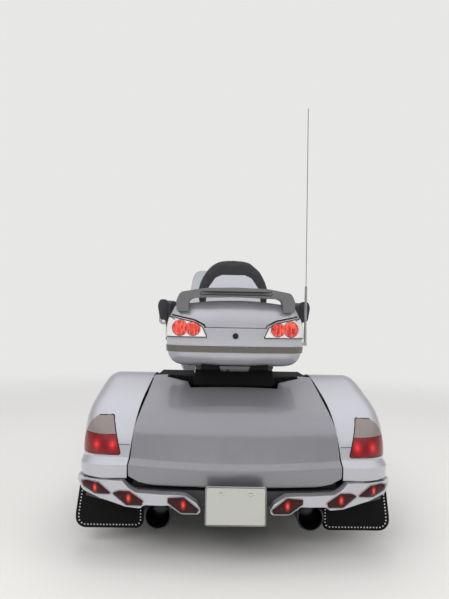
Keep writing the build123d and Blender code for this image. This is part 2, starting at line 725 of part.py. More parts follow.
def fairing(volume):
    room = fairing_volume(FAIRING_WALL) + block(-500, 500, 500, 1200, 400, 566)
    room &= block(-500, 500, 400, 1200, 400, 1034)
    shape = volume - room
    side = along_x([
        (600, 540), (630, 700), (700, 880), (780, 930), (800, 1040), (1000, 1050), (1200, 850), (1180, 730),
        (1040, 700), (1000, 620), (960, 560),
    ], -500, 500, [10, 60, 60, 20, 6, 40, 20, 40, 60, 30, 10])
    tunnel = block(-262, 262, 500, 1300, 400, 716)
    well = along_z(full_outline([(0, 895), (150, 870), (300, 800), (300, 700)]), 1030, 1050)
    return (shape & side) - tunnel - well - side_vents()


def side_vents():
    slots = block(300, 500, 690, 800, 650, 662)
    for z in (674, 698, 722):
        slots += block(300, 500, 690, 800, z, z + 12)
    return both_sides(slots)


def headlamps(volume):
    window = along_y(HEADLAMP, 900, 1300, [6, 14, 20, 10, 20, 14])
    shell = fairing_volume(-5) & window
    return both_sides(shell - volume)


def windshield():
    # a curved sheet between a wide foot and a narrower top edge
    sections = []
    for z, reach, half_width, bow in ((1040, 914, 350, 130), (1210, 812, 318, 118), (1400, 700, 262, 96)):
        back = reach - bow
        outer = ThreePointArc((-half_width, back, z), (0, reach, z), (half_width, back, z))
        inner = ThreePointArc((half_width - 2, back - 5, z), (0, reach - 5, z), (2 - half_width, back - 5, z))
        ends = [Line(outer @ 1, inner @ 0), Line(inner @ 1, outer @ 0)]
        sections.append(make_face([outer, ends[0], inner, ends[1]]))
    trim = along_y([(-360, 1000), (-270, 1401), (270, 1401), (360, 1000)], 500, 1000, [6, 90, 90, 6])
    return loft(sections) & trim


def mirrors(volume):
    # housings swept back from a foot on the fairing's shoulder
    sections = []
    for y, x, z, width, height in ((772, 494, 1000, 150, 84), (830, 490, 998, 146, 86), (890, 478, 990, 96, 52)):
        plane = Plane(origin=(x, y, z), x_dir=(1, 0, 0), z_dir=(0, 1, 0))
        sections.append(plane * RectangleRounded(width, height, height * 0.4))
    housing = loft(sections)
    glass_seat = along_y([(434, 966), (556, 968), (556, 1032), (434, 1032)], 760, 777, 16)
    foot = rod((380, 840, 930), (462, 846, 985), 44)
    return both_sides((housing - glass_seat + foot) - volume)


def dash():
    # an instrument pod with four wells, on a bar between the fairing's sides
    side = [(846, 968), (832, 1006), (868, 1034), (900, 1030), (950, 985), (940, 968)]
    plan = full_outline([(100, 940), (250, 890), (310, 860), (310, 800)])
    panel = along_x(side, -330, 330, [8, 12, 8, 20, 8, 8]) & along_z(plan, 900, 1100)
    for x in (-150, -52, 52, 150):
        face = Plane(origin=(x, 851, 1020), x_dir=(1, 0, 0), z_dir=(0, -0.61, 0.79))
        panel -= extrude(face * Circle(40), 14, both=True)
    bar = block(-430, 430, 838, 852, 988, 1004) & fairing_volume(FAIRING_WALL)
    return panel + bar


def main():
    os.makedirs("parts", exist_ok=True)
    right_rim = Pos(WHEEL_X, REAR_AXLE_Y, AXLE_Z) * rear_rim()
    right_tyre = Pos(WHEEL_X, REAR_AXLE_Y, AXLE_Z) * tyre(REAR_TYRE_WIDTH, REAR_RIM_RADIUS)
    front_hub = Pos(0, FRONT_AXLE_Y, AXLE_Z)
    right_fender = fender()
    right_lamp = tail_lamp()
    lid = lid_volume()
    low, low_shell, high, high_shell = trunk_shells()
    trim = trunk_trim(low)
    cowling = fairing_volume(0)
    nodes = {
        "main_frame": main_frame(),
        "rear_axle": rear_axle(),
        "engine_block": engine_block(),
        "engine_heads": engine_heads(),
        "exhaust": exhaust(),
        "engine_guards": engine_guards(),
        "foot_boards": foot_boards(),
        "fender_right": right_fender,
        "fender_left": left(right_fender),
        "tail_lamp_right": right_lamp,
        "tail_lamp_left": left(right_lamp),
        "boot_tub": boot_tub(lid),
        "boot_lid": boot_lid(lid),
        "rear_deck": rear_deck(),
        "bumper": bumper(),
        "bumper_lamps": bumper_lamps(),
        "mud_flaps": mud_flaps(),
        "plate_bracket": plate_bracket(),
        "number_plate": number_plate(),
        "trunk_box": trunk_box(low_shell, high_shell),
        "trunk_lid": trunk_lid(high_shell),
        "trunk_trim": trim,
        "trunk_lamps": trunk_lamps(low, high),
        "spoiler": spoiler(high),
        "trunk_light_block": trunk_light_block(low),
        "passenger_seat": passenger_seat(),
        "rider_seat": rider_seat(),
        "backrest_pad": backrest_pad(),
        "backrest_shell": backrest_shell(low),
        "armrests": armrests(low, high),
        "tank_cover": tank_cover(),
        "side_covers": side_covers(),
        "fairing": fairing(cowling),
        "windshield": windshield(),
        "headlamps": headlamps(cowling),
        "mirrors": mirrors(cowling),
        "dash": dash(),
        "antenna": antenna(low, trim),
        "fork": fork(),
        "triple_clamps": triple_clamps(),
        "front_fender": front_fender(),
        "front_calipers": front_calipers(),
        "handlebar": handlebar(),
        "handlebar_grips": handlebar_grips(),
        "front_rim": front_hub * front_rim(),
        "front_tyre": front_hub * tyre(FRONT_TYRE_WIDTH, FRONT_RIM_RADIUS),
        "front_discs": front_hub * front_discs(),
        "rear_rim_right": right_rim,
        "rear_rim_left": left(right_rim),
        "rear_tyre_right": right_tyre,
        "rear_tyre_left": left(right_tyre),
    }
    for name, shape in nodes.items():
        export_step(shape, f"parts/{name}.step")


main()
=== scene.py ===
import bpy
import bmesh
import json
from math import acos, cos, exp, pi, radians, sin, sqrt, tan
from mathutils import Matrix, Vector
from mathutils.bvhtree import BVHTree
from mathutils.geometry import delaunay_2d_cdt


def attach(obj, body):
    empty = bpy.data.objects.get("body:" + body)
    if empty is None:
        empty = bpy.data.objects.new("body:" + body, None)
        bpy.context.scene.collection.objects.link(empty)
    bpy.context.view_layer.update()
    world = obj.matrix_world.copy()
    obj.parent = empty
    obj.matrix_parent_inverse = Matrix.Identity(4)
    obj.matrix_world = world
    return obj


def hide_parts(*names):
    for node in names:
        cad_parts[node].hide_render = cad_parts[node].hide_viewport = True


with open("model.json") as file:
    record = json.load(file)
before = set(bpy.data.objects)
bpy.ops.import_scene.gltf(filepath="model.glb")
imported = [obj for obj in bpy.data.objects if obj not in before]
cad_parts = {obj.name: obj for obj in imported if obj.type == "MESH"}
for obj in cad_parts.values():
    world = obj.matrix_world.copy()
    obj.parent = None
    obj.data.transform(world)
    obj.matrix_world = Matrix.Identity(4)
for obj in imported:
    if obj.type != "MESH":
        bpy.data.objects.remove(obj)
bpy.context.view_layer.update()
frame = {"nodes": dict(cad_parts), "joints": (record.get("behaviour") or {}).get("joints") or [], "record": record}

# Lengths are in metres, unless a heading says otherwise

# Camera, fitted to the photo: its focal length goes with the photo's height, both in pixels
CAMERA_AT = Vector((-0.093, -3.459, 0.975))
CAMERA_YAW = radians(0.93)
CAMERA_PITCH = radians(2.7)
CAMERA_ROLL = radians(1.05)
FOCAL_PIXELS = 505
PHOTO_HEIGHT = 599
SENSOR = 36

# Lamps: name, place, point aimed at, width, height, power
LAMPS = [
    ("key", (-3.0, -4.0, 5.0), (0, -0.5, 0.5), 3.5, 3.0, 110),
    ("fill", (4.5, -2.5, 3.0), (0, 0, 0.5), 3.0, 2.5, 55),
    ("low", (-0.5, -5.2, 2.6), (0, -1.0, 0.9), 4.0, 1.4, 65),
    ("top", (0, 1.2, 5.5), (0, 0.3, 0), 4.0, 4.0, 120),
]
PALE = (0.80, 0.80, 0.79)
FLOOR_SHADE = (0.60, 0.59, 0.57)
FLOOR_RADIUS = 60
FLOOR_FADE = (1.6, 7.0)
# What metal and lacquer mirror: height of the ray, from 0 level to 1 upright, and the grey there
SKYLINE = [(0.015, 0.62), (0.14, 0.50), (0.26, 0.30), (0.40, 0.42), (0.56, 0.82)]
SKY_FOOT = (0.30, 0.29, 0.28, 1)
SKY_TOP = (1.0, 1.0, 1.02, 1)
SKY_TOP_AT = 0.70
SKY_BLUE = 1.02
SKY_STRENGTH = 0.95

# Lacquers: key, material, grey, metallic share, roughness
LACQUERS = [
    ("silver_paint", "silver_lacquer", 0.50, 0.6, 0.32),
    # the body's silver made darker for the boot lid: painted shade
    ("lid_paint", "silver_lacquer_darker", 0.245, 0.5, 0.38),
    # the body's silver made lighter for the backrest shell: painted light from the sky above it
    ("shell_paint", "silver_lacquer_lighter", 0.66, 0.6, 0.32),
]
LACQUER_BLUE = 1.08
# Moulded and enamelled surfaces: key, material, colour, roughness, fineness of the grain, gloss
MOULDED = [
    # black darker than any rubber, with little shine: the parts' own black with painted shade over it
    ("deep_black", "deep_black_rubber", (0.005, 0.005, 0.006), 0.7, 300, 0.15),
    ("frame_black", "frame_enamel", (0.03, 0.03, 0.033), 0.4, 500, 0.5),
    ("black_plastic", "black_moulding", (0.018, 0.018, 0.02), 0.5, 500, 0.5),
    ("grey_plastic", "grey_moulding", (0.13, 0.13, 0.135), 0.35, 700, 0.5),
    ("black_rubber", "black_rubber", (0.015, 0.015, 0.016), 0.65, 300, 0.5),
    ("soot", "soot", (0.006, 0.006, 0.006), 0.9, 300, 0.5),
    ("dial", "dial_face", (0.02, 0.02, 0.022), 0.3, 600, 0.5),
    ("dial_mark", "dial_mark", (0.85, 0.85, 0.82), 0.5, 600, 0.5),
    ("needle", "needle", (0.75, 0.06, 0.02), 0.4, 600, 0.5),
    ("plate_white", "plate_enamel", (0.46, 0.46, 0.43), 0.35, 200, 0.5),
]
# Metals: key, material, colour, roughness, scale of its unevenness
METALS = [
    ("chrome", "polished_chrome", (0.80, 0.81, 0.82), 0.06, 60),
    # chrome made dark and brownish: a painted reflection of darker ground
    ("trim_chrome", "trim_chrome", (0.17, 0.16, 0.145), 0.12, 60),
    ("dark_tip", "dark_exhaust_tip", (0.06, 0.06, 0.065), 0.3, 60),
    ("steel", "ground_steel", (0.50, 0.50, 0.51), 0.28, 200),
    ("bright", "bright_bolts", (0.72, 0.72, 0.73), 0.16, 120),
    ("rim_paint", "lens_surround", (0.42, 0.42, 0.43), 0.3, 120),
    ("mirror", "mirror_glass", (0.85, 0.87, 0.88), 0.03, 20),
]
# Unlit lenses: key, material, colour, fineness of the pattern, how clear, gloss
LENSES = [
    ("tail_clear", "tail_clear", (0.20, 0.17, 0.16), 120, 0.0, 0.6),
    ("smoked", "smoked_lens", (0.10, 0.10, 0.10), 120, 0.0, 0.5),
    ("box_clear", "box_clear", (0.72, 0.71, 0.70), 70, 0.0, 1.0),
    ("clear_lens", "clear_lens", (0.80, 0.80, 0.80), 160, 0.7, 1.0),
    ("amber", "amber_lens", (0.70, 0.22, 0.02), 160, 0.0, 1.0),
]
# Lenses with a lit spot behind them: key, colour, pattern, gloss, spots (x, z) on the right side,
# colour of the glow, its reach sideways, its height as a multiple of that
LIT_LENSES = [
    ("red_lens", (0.035, 0.006, 0.007), 160, 0.25, [(0.584, 0.282), (0.436, 0.256), (0.211, 0.241)],
     (1.0, 0.05, 0.03), 0.015, 1.9),
    ("tail_red", (0.17, 0.010, 0.012), 90, 0.4, [(0.520, 0.455), (0.590, 0.452)],
     (0.55, 0.02, 0.025), 0.030, 1.3),
]
BOX_RED_DARK = (0.42, 0.008, 0.008)
BOX_RED_LIGHT = (0.86, 0.11, 0.07)
NOISE = "ShaderNodeTexNoise"
CELLS = "ShaderNodeTexVoronoi"
BUMP_DEPTH = 0.001

# Nodes with a finish other than their slot's. The deck is black all over, and the lamp block and flaps are black.
NODE_FINISH = [
    # the trunk trim takes the chrome with the painted dark reflection
    ("trunk_trim", "trim_chrome"), ("rear_deck", "deep_black"), ("trunk_light_block", "deep_black"),
    # their black is darkened further as painted shade under the top box and the bumper
    ("mud_flaps", "deep_black"),
]
# Nodes shaded as one flowing surface: node, body, finish, angle that stays sharp, reach of the blending
FLOWING = [
    # the boot lid takes the silver with painted shade
    ("boot_lid", "boot_lid", "lid_paint", 22, 0.200),
    # the backrest shell takes the silver with painted light
    ("backrest_shell", "chassis", "shell_paint", 50, 0.020),
    ("fairing", "chassis", "silver_paint", 48, 0.050),
]
FLOW_STEPS = 3

# Places that the frame gives: the wheel hubs and their height, the plate's face and its two bolts
HUBS = {joint["child"]: joint["pos_m"] for joint in frame["joints"] if joint.get("continuous")}
TYRE_R = HUBS["front_wheel"][2]
PLATE_BOLTS = next(mount for mount in frame["record"]["mounts"] if mount["name"] == "plate_bolts")
_, PLATE_Y, PLATE_BOLT_Z = PLATE_BOLTS["pos_m"]
PLATE_BOLT_X = PLATE_BOLTS["dims"]["spacing_x_mm"] / 2000

# Outlines on the right side or across the middle: (x, z) in millimetres
TOP_LAMP = [(127, 905), (152, 959), (198, 983), (304, 1006), (350, 1012), (350, 905)]
DIAMONDS = [
    [(512, 266), (566, 304), (626, 304), (658, 293), (648, 280), (585, 259)],
    [(505, 268), (478, 280), (434, 282), (376, 248), (382, 230), (444, 227)],
    [(148, 222), (156, 209), (219, 209), (273, 248), (273, 265), (210, 270)],
]
FLAP = [(395, 66), (697, 66), (694, 136), (674, 300), (448, 300), (448, 226), (395, 226)]
FLAP_ROUND = [34, 46, 60, 6, 6, 16, 6]
TAIL_LAMP = [(481, 414), (531, 568), (720, 556), (720, 409)]
PLATE_EDGE = [(-119, 171), (119, 171), (119, 319), (-119, 319)]
PLATE_LIGHT = [(-75, 773), (-64, 749), (64, 749), (75, 773)]
BRAKE_BAR = [(-167, 1106), (167, 1106), (167, 1122), (-167, 1122)]
MIRROR_PANE = [(440, 973), (550, 974), (550, 1026), (440, 1026)]
SIGNAL_STRIP = [(450, 975), (508, 975), (508, 1003), (450, 1003)]
# Round lenses on the right side, in the same units: x, z, radius
BOX_DISCS = [(262, 951, 38), (199, 948, 34)]
HEADLAMP_DISCS = [(150, 813, 25), (222, 830, 29)]

# Tail lamps: height and run of the joint between red and clear, then how far out their edge line goes
# and how near the lamp it keeps
TAIL_SPLIT = 0.494
TAIL_SPLIT_X = [0.508 + 0.007 * k for k in range(21)]
TAIL_EDGE_END = 0.655
LAMP_NEAR = 0.005
# Joint in the fender between the boot lid and the tail lamp, as (x, z)
FENDER_JOINT = [(0.448 + 0.0045 * k, 0.4555 + 0.0001 * k) for k in range(11)]

# Top box: where the gasket of its lamps ends, its lock as (radius, height)
BOX_EDGE_END = 0.327
LOCK_Z = 0.916
LOCK_BODY = [(0.014, 0), (0.014, 0.004), (0.0125, 0.0055), (0.009, 0.0055), (0.0085, 0.003), (0.0, 0.003)]
LOCK_CORE = [(0.0075, 0.003), (0.0075, 0.0048), (0.0, 0.0048)]

# Flap studs: the flap's face, the row's distance in from the edge, the least distance, the pitch
FLAP_Y = -1.178
STUD_INSET = 0.014
STUD_CLEAR = 0.0125
STUD_PITCH = 0.0138
# The row rises to the first height, and to the second along the outer edge, past this x
STUD_TOPS = (0.212, 0.25)
STUD_OUTER_X = 0.64

# Exhaust: the right tip's end, its lining as (radius, depth), and where the dark metal begins
TIP_AT = (0.322, -1.283, 0.161)
TIP_LINING = [(0.0503, 0.0), (0.0503, 0.12), (0.03, 0.128), (0.0, 0.128)]
DARK_TIPS_Y = -0.9

# Dials: their wells, which way they face, their profiles as (radius, height), ticks in degrees
DIAL_X = (-0.150, -0.052, 0.052, 0.150)
DIAL_Y = 0.851
DIAL_Z = 1.020
DIAL_FACING = Vector((0, -0.61, 0.79))
DIAL_BEZEL = [(0.0395, -0.002), (0.0395, 0.003), (0.0375, 0.003), (0.0370, 0.001)]
DIAL_FACE = [(0.037, -0.001), (0.037, 0.001), (0.0, 0.001)]
DIAL_TICKS = 11
TICK_START = -40
TICK_STEP = 26
TICK_END_R = 0.034
NEEDLE_ANGLE = radians(205)

# Bolts on the engine's heads, as (y, z), looked for from this far out
ROCKER_X = 0.6
ROCKER_BOLTS = [
    (0.225, 0.322), (0.425, 0.318), (0.625, 0.322),
    (0.225, 0.483), (0.425, 0.488), (0.625, 0.483),
]

# Soft pieces: piece, node, where its sewn channels face and how far they are from the middle,
# cap of the swelling, shrinking before it, rounds of smoothing, voxel
CUSHIONS = [
    ("passenger_cushion", "passenger_seat", (0, 0, 1), 0.085, 0.008, 0.002, 24, 0.008),
    ("rider_cushion", "rider_seat", (0, 0, 1), 0.075, 0.008, 0.002, 20, 0.008),
    ("backrest_cushion", "backrest_pad", (0, 1, 0), 0.085, 0.008, 0.001, 4, 0.007),
    ("armrest_pads", "armrests", None, 0, 0.003, 0.002, 3, 0.006),
]
# Channels: half width, depth, and how squarely a spot has to face them to be pressed in
CHANNEL_HALF = 0.0045
CHANNEL_DEPTH = 0.0035
CHANNEL_FACING = 0.45
SWELL_PRESSURE = 4
SWELL_QUALITY = 4
SWELL_FRAMES = 15

# Tyres: width, rim radius, places of the grooves round the tread as shares of half the width
REAR_TYRE = (0.205, 0.190, (0.16, 0.50))
FRONT_TYRE = (0.130, 0.226, (0.22, 0.58))
GROOVE_WALLS = (-0.045, -0.035, 0.035, 0.045)
GROOVE_HALF = 0.04
GROOVE_DEPTH = 0.006
# The tread: its edge as such a share, how far below the top it reaches, its fall towards the edge
TREAD_EDGE = 0.74
TREAD_HEIGHT = 0.018
TREAD_FALL = 0.0035
# Cross cuts: pitches round the tyre, steps in a pitch, the steps that are cut, their depth
PITCHES = 60
PITCH_STEPS = 6
CUT_STEPS = (4, 5)
CUT_DEPTH = GROOVE_DEPTH * 0.8
# The sidewalls are shaded smoothly from this far below the top, and the tread isn't
SMOOTH_BELOW = 0.02

# Wheel fittings, measured from the hub: (radius, height) of the cap, (outwards, up) of the valve
NUT_FACE = 0.052
NUT_CIRCLE = 0.050
NUTS = 5
HUB_CAP = [(0.031, 0), (0.031, 0.006), (0.026, 0.011), (0.0, 0.0125)]
VALVE = [(0.070, 0.165), (0.092, 0.152)]
DISC_FACE = 0.0665
DISC_CIRCLE = 0.045
DISC_BOLTS = 6


# Camera, floor and light
def make_camera():
    data = bpy.data.cameras.new("camera")
    data.sensor_width = SENSOR
    data.lens = FOCAL_PIXELS / PHOTO_HEIGHT * SENSOR
    forward = Vector((
        sin(CAMERA_YAW) * cos(CAMERA_PITCH), cos(CAMERA_YAW) * cos(CAMERA_PITCH), sin(CAMERA_PITCH),
    ))
    right = Vector((cos(CAMERA_YAW), -sin(CAMERA_YAW), 0))
    up = right.cross(forward)
    rolled_right = cos(CAMERA_ROLL) * right + sin(CAMERA_ROLL) * up
    rolled_up = cos(CAMERA_ROLL) * up - sin(CAMERA_ROLL) * right
    turn = Matrix((rolled_right, rolled_up, -forward)).transposed()
    camera = bpy.data.objects.new("camera", data)
    camera.matrix_world = Matrix.Translation(CAMERA_AT) @ turn.to_4x4()
    bpy.context.scene.collection.objects.link(camera)
    bpy.context.scene.camera = camera


def make_lamps():
    for name, place, aim, width, height, power in LAMPS:
        data = bpy.data.lights.new(name, "AREA")
        data.shape = "RECTANGLE"
        data.size = width
        data.size_y = height
        data.energy = power
        lamp = bpy.data.objects.new(name, data)
        lamp.location = place
        lamp.rotation_euler = (Vector(aim) - Vector(place)).to_track_quat("-Z", "Y").to_euler()
        lamp.visible_glossy = False
        bpy.context.scene.collection.objects.link(lamp)


def make_world():
    # pale to the camera; in reflections a bright sky over a darker skyline
    world = bpy.data.worlds.new("studio")
    bpy.context.scene.world = world
    world.use_nodes = True
    tree = world.node_tree
    sky = tree.nodes["Background"]
    coord = tree.nodes.new("ShaderNodeTexCoord")
    split = tree.nodes.new("ShaderNodeSeparateXYZ")
    ramp = tree.nodes.new("ShaderNodeValToRGB")
    path = tree.nodes.new("ShaderNodeLightPath")
    plain = tree.nodes.new("ShaderNodeBackground")
    mix = tree.nodes.new("ShaderNodeMixShader")
    tree.links.new(coord.outputs["Generated"], split.inputs[0])
    tree.links.new(split.outputs["Z"], ramp.inputs[0])
    stops = ramp.color_ramp.elements
    stops[0].color = SKY_FOOT
    stops[1].position = SKY_TOP_AT
    stops[1].color = SKY_TOP
    for place, shade in SKYLINE:
        stops.new(place).color = (shade, shade, shade * SKY_BLUE, 1)
    tree.links.new(ramp.outputs[0], sky.inputs[0])
    sky.inputs[1].default_value = SKY_STRENGTH
    plain.inputs[0].default_value = (*PALE, 1)
    tree.links.new(path.outputs["Is Camera Ray"], mix.inputs[0])
    tree.links.new(sky.outputs[0], mix.inputs[1])
    tree.links.new(plain.outputs[0], mix.inputs[2])
    tree.links.new(mix.outputs[0], tree.nodes["World Output"].inputs[0])


def make_floor():
    # a wide disc that fades into the pale surroundings away from the vehicle
    mesh = bpy.data.meshes.new("floor")
    turns = [radians(degrees) for degrees in range(0, 360, 5)]
    rim = [(FLOOR_RADIUS * cos(turn), FLOOR_RADIUS * sin(turn), 0) for turn in turns]
    mesh.from_pydata(rim, [], [range(len(rim))])
    floor = bpy.data.objects.new("floor", mesh)
    bpy.context.scene.collection.objects.link(floor)
    material, tree, shader = new_material("floor_paper", FLOOR_SHADE, 0.9)
    coord = tree.nodes.new("ShaderNodeTexCoord")
    length = tree.nodes.new("ShaderNodeVectorMath")
    length.operation = "LENGTH"
    fade = tree.nodes.new("ShaderNodeMapRange")
    fade.interpolation_type = "SMOOTHSTEP"
    fade.inputs["From Min"].default_value, fade.inputs["From Max"].default_value = FLOOR_FADE
    glow = tree.nodes.new("ShaderNodeEmission")
    glow.inputs[0].default_value = (*PALE, 1)
    mix = tree.nodes.new("ShaderNodeMixShader")
    tree.links.new(coord.outputs["Object"], length.inputs[0])
    tree.links.new(length.outputs["Value"], fade.inputs["Value"])
    tree.links.new(fade.outputs[0], mix.inputs[0])
    tree.links.new(shader.outputs[0], mix.inputs[1])
    tree.links.new(glow.outputs[0], mix.inputs[2])
    tree.links.new(mix.outputs[0], tree.nodes["Material Output"].inputs[0])
    mesh.materials.append(material)


# Materials
def new_material(name, colour, roughness, metallic=0.0):
    material = bpy.data.materials.new(name)
    material.use_nodes = True
    shader = material.node_tree.nodes["Principled BSDF"]
    shader.inputs["Base Color"].default_value = (*colour, 1)
    shader.inputs["Roughness"].default_value = roughness
    shader.inputs["Metallic"].default_value = metallic
    return material, material.node_tree, shader


def pattern(tree, kind, scale, stretch=None):
    # a noise or cell pattern that lies still on the object; stretch is a further scale for each axis
    place = tree.nodes.new("ShaderNodeTexCoord").outputs["Object"]
    if stretch:
        mapping = tree.nodes.new("ShaderNodeMapping")
        mapping.inputs["Scale"].default_value = stretch
        tree.links.new(place, mapping.inputs[0])
        place = mapping.outputs[0]
    node = tree.nodes.new(kind)
    node.inputs["Scale"].default_value = scale
    tree.links.new(place, node.inputs["Vector"])
    return node


def two_colours(tree, first, second, places):
    ramp = tree.nodes.new("ShaderNodeValToRGB")
    for stop, place, colour in zip(ramp.color_ramp.elements, places, (first, second)):
        stop.position = place
        stop.color = (*colour, 1)
    return ramp


def noise_colour(tree, shader, scale, first, second, detail=4):
    noise = pattern(tree, NOISE, scale)
    noise.inputs["Detail"].default_value = detail
    ramp = two_colours(tree, first, second, (0.35, 0.65))
    tree.links.new(noise.outputs["Fac"], ramp.inputs[0])
    tree.links.new(ramp.outputs[0], shader.inputs["Base Color"])


def noise_rough(tree, shader, scale, low, high):
    noise = pattern(tree, NOISE, scale)
    spread = tree.nodes.new("ShaderNodeMapRange")
    spread.inputs["To Min"].default_value = low
    spread.inputs["To Max"].default_value = high
    tree.links.new(noise.outputs["Fac"], spread.inputs["Value"])
    tree.links.new(spread.outputs[0], shader.inputs["Roughness"])


def bump(tree, shader, kind, scale, strength):
    node = tree.nodes.new("ShaderNodeBump")
    node.inputs["Strength"].default_value = strength
    node.inputs["Distance"].default_value = BUMP_DEPTH
    height = "Distance" if kind == CELLS else "Fac"
    tree.links.new(pattern(tree, kind, scale).outputs[height], node.inputs["Height"])
    tree.links.new(node.outputs[0], shader.inputs["Normal"])


def lacquer(name, grey, metallic, roughness):
    tint = (grey, grey, grey * LACQUER_BLUE)
    material, tree, shader = new_material(name, tint, roughness, metallic)
    noise_colour(tree, shader, 900, [c * 0.92 for c in tint], [c * 1.1 for c in tint], detail=2)
    shader.inputs["Coat Weight"].default_value = 0.6
    shader.inputs["Coat Roughness"].default_value = 0.05
    noise_rough(tree, shader, scale=3, low=roughness - 0.04, high=roughness + 0.04)
    return material


def moulded(name, colour, roughness, grain, gloss):
    material, tree, shader = new_material(name, colour, roughness)
    shader.inputs["Specular IOR Level"].default_value = gloss
    bump(tree, shader, NOISE, scale=grain, strength=0.25)
    noise_rough(tree, shader, scale=12, low=roughness - 0.08, high=roughness + 0.08)
    return material


def metal(name, colour, roughness, scale):
    material, tree, shader = new_material(name, colour, roughness, 1.0)
    noise_rough(tree, shader, scale, low=max(0.02, roughness * 0.7), high=roughness * 1.4)
    return material


def cast_alloy():
    material, tree, shader = new_material("cast_alloy", (0.50, 0.50, 0.51), 0.42, 0.9)
    bump(tree, shader, NOISE, scale=420, strength=0.2)
    noise_rough(tree, shader, scale=30, low=0.34, high=0.5)
    return material


def vinyl():
    material, tree, shader = new_material("black_vinyl", (0.022, 0.022, 0.026), 0.48)
    bump(tree, shader, CELLS, scale=380, strength=0.35)
    noise_rough(tree, shader, scale=8, low=0.42, high=0.56)
    return material


def tyre_rubber():
    material, tree, shader = new_material("tyre_rubber", (0.02, 0.02, 0.02), 0.8)
    noise_colour(tree, shader, 14, (0.016, 0.016, 0.016), (0.032, 0.031, 0.03))
    bump(tree, shader, NOISE, scale=260, strength=0.25)
    return material


def lens(name, colour, fineness, gloss):
    # a coated lens with a moulded pattern
    material, tree, shader = new_material(name, colour, 0.08)
    shader.inputs["Coat Weight"].default_value = gloss
    shader.inputs["Specular IOR Level"].default_value = gloss * 0.5
    shader.inputs["Coat Roughness"].default_value = 0.03
    bump(tree, shader, CELLS, scale=fineness, strength=0.3)
    return material, tree, shader


def plain_lens(name, colour, fineness, clear, gloss):
    material, tree, shader = lens(name, colour, fineness, gloss)
    shader.inputs["Transmission Weight"].default_value = clear
    noise_rough(tree, shader, scale=40, low=0.05, high=0.12)
    return material


def lit_spot(tree, x, z, reach, tall):
    # 1 at (x, z), and nothing at its reach and beyond
    coord = tree.nodes.new("ShaderNodeTexCoord")
    place = tree.nodes.new("ShaderNodeMapping")
    place.vector_type = "POINT"
    place.inputs["Location"].default_value = (-x / reach, 0, -z / reach / tall)
    place.inputs["Scale"].default_value = (1 / reach, 0, 1 / reach / tall)
    ball = tree.nodes.new("ShaderNodeTexGradient")
    ball.gradient_type = "QUADRATIC_SPHERE"
    tree.links.new(coord.outputs["Object"], place.inputs[0])
    tree.links.new(place.outputs[0], ball.inputs[0])
    return ball.outputs["Fac"]


def lit_lens(name, colour, fineness, gloss, spots, glow, reach, tall):
    # a lens with lit reflectors showing through it, the same on both sides of the vehicle
    material, tree, shader = lens(name, colour, fineness, gloss)
    total = None
    for x, z in spots:
        for side in (-1, 1):
            spot = lit_spot(tree, side * x, z, reach, tall)
            if total is None:
                total = spot
                continue
            both = tree.nodes.new("ShaderNodeMath")
            both.operation = "ADD"
            tree.links.new(total, both.inputs[0])
            tree.links.new(spot, both.inputs[1])
            total = both.outputs[0]
    blend = tree.nodes.new("ShaderNodeMix")
    blend.data_type = "RGBA"
    blend.inputs["A"].default_value = (*colour, 1)
    blend.inputs["B"].default_value = (*glow, 1)
    tree.links.new(total, blend.inputs["Factor"])
    tree.links.new(blend.outputs["Result"], shader.inputs["Base Color"])
    tree.links.new(blend.outputs["Result"], shader.inputs["Emission Color"])
    tree.links.new(total, shader.inputs["Emission Strength"])
    return material


def faceted_lens(name, dark, light):
    # upright facets that catch the light one by one
    material, tree, shader = new_material(name, dark, 0.1)
    shader.inputs["Coat Weight"].default_value = 0.7
    shader.inputs["Emission Strength"].default_value = 0.06
    cells = pattern(tree, CELLS, scale=150, stretch=(1.0, 1.0, 0.3))
    ramp = two_colours(tree, dark, light, (0.25, 0.8))
    tree.links.new(cells.outputs["Color"], ramp.inputs[0])
    tree.links.new(ramp.outputs[0], shader.inputs["Base Color"])
    tree.links.new(ramp.outputs[0], shader.inputs["Emission Color"])
    bump(tree, shader, CELLS, scale=130, strength=0.4)
    return material


def glass_screen():
    material, tree, shader = new_material("clear_screen", (0.9, 0.93, 0.95), 0.03)
    shader.inputs["Transmission Weight"].default_value = 1.0
    shader.inputs["IOR"].default_value = 1.2
    noise_rough(tree, shader, scale=4, low=0.02, high=0.06)
    return material


def make_materials():
    made = {
        "bare_alloy": cast_alloy(),
        "vinyl": vinyl(),
        "tyre_rubber": tyre_rubber(),
        "screen": glass_screen(),
        "box_red": faceted_lens("box_red", BOX_RED_DARK, BOX_RED_LIGHT),
    }
    for maker, table in ((lacquer, LACQUERS), (moulded, MOULDED), (metal, METALS), (plain_lens, LENSES)):
        for key, name, *values in table:
            made[key] = maker(name, *values)
    for name, *values in LIT_LENSES:
        made[name] = lit_lens(name, *values)
    return made


def dress_nodes(materials):
    slots = {part["node"]: part["material_slot"] for part in frame["record"]["subparts"]}
    for name, node in frame["nodes"].items():
        node.data.materials.clear()
        node.data.materials.append(materials[slots[name]])
    for name, finish in NODE_FINISH:
        frame["nodes"][name].data.materials[0] = materials[finish]


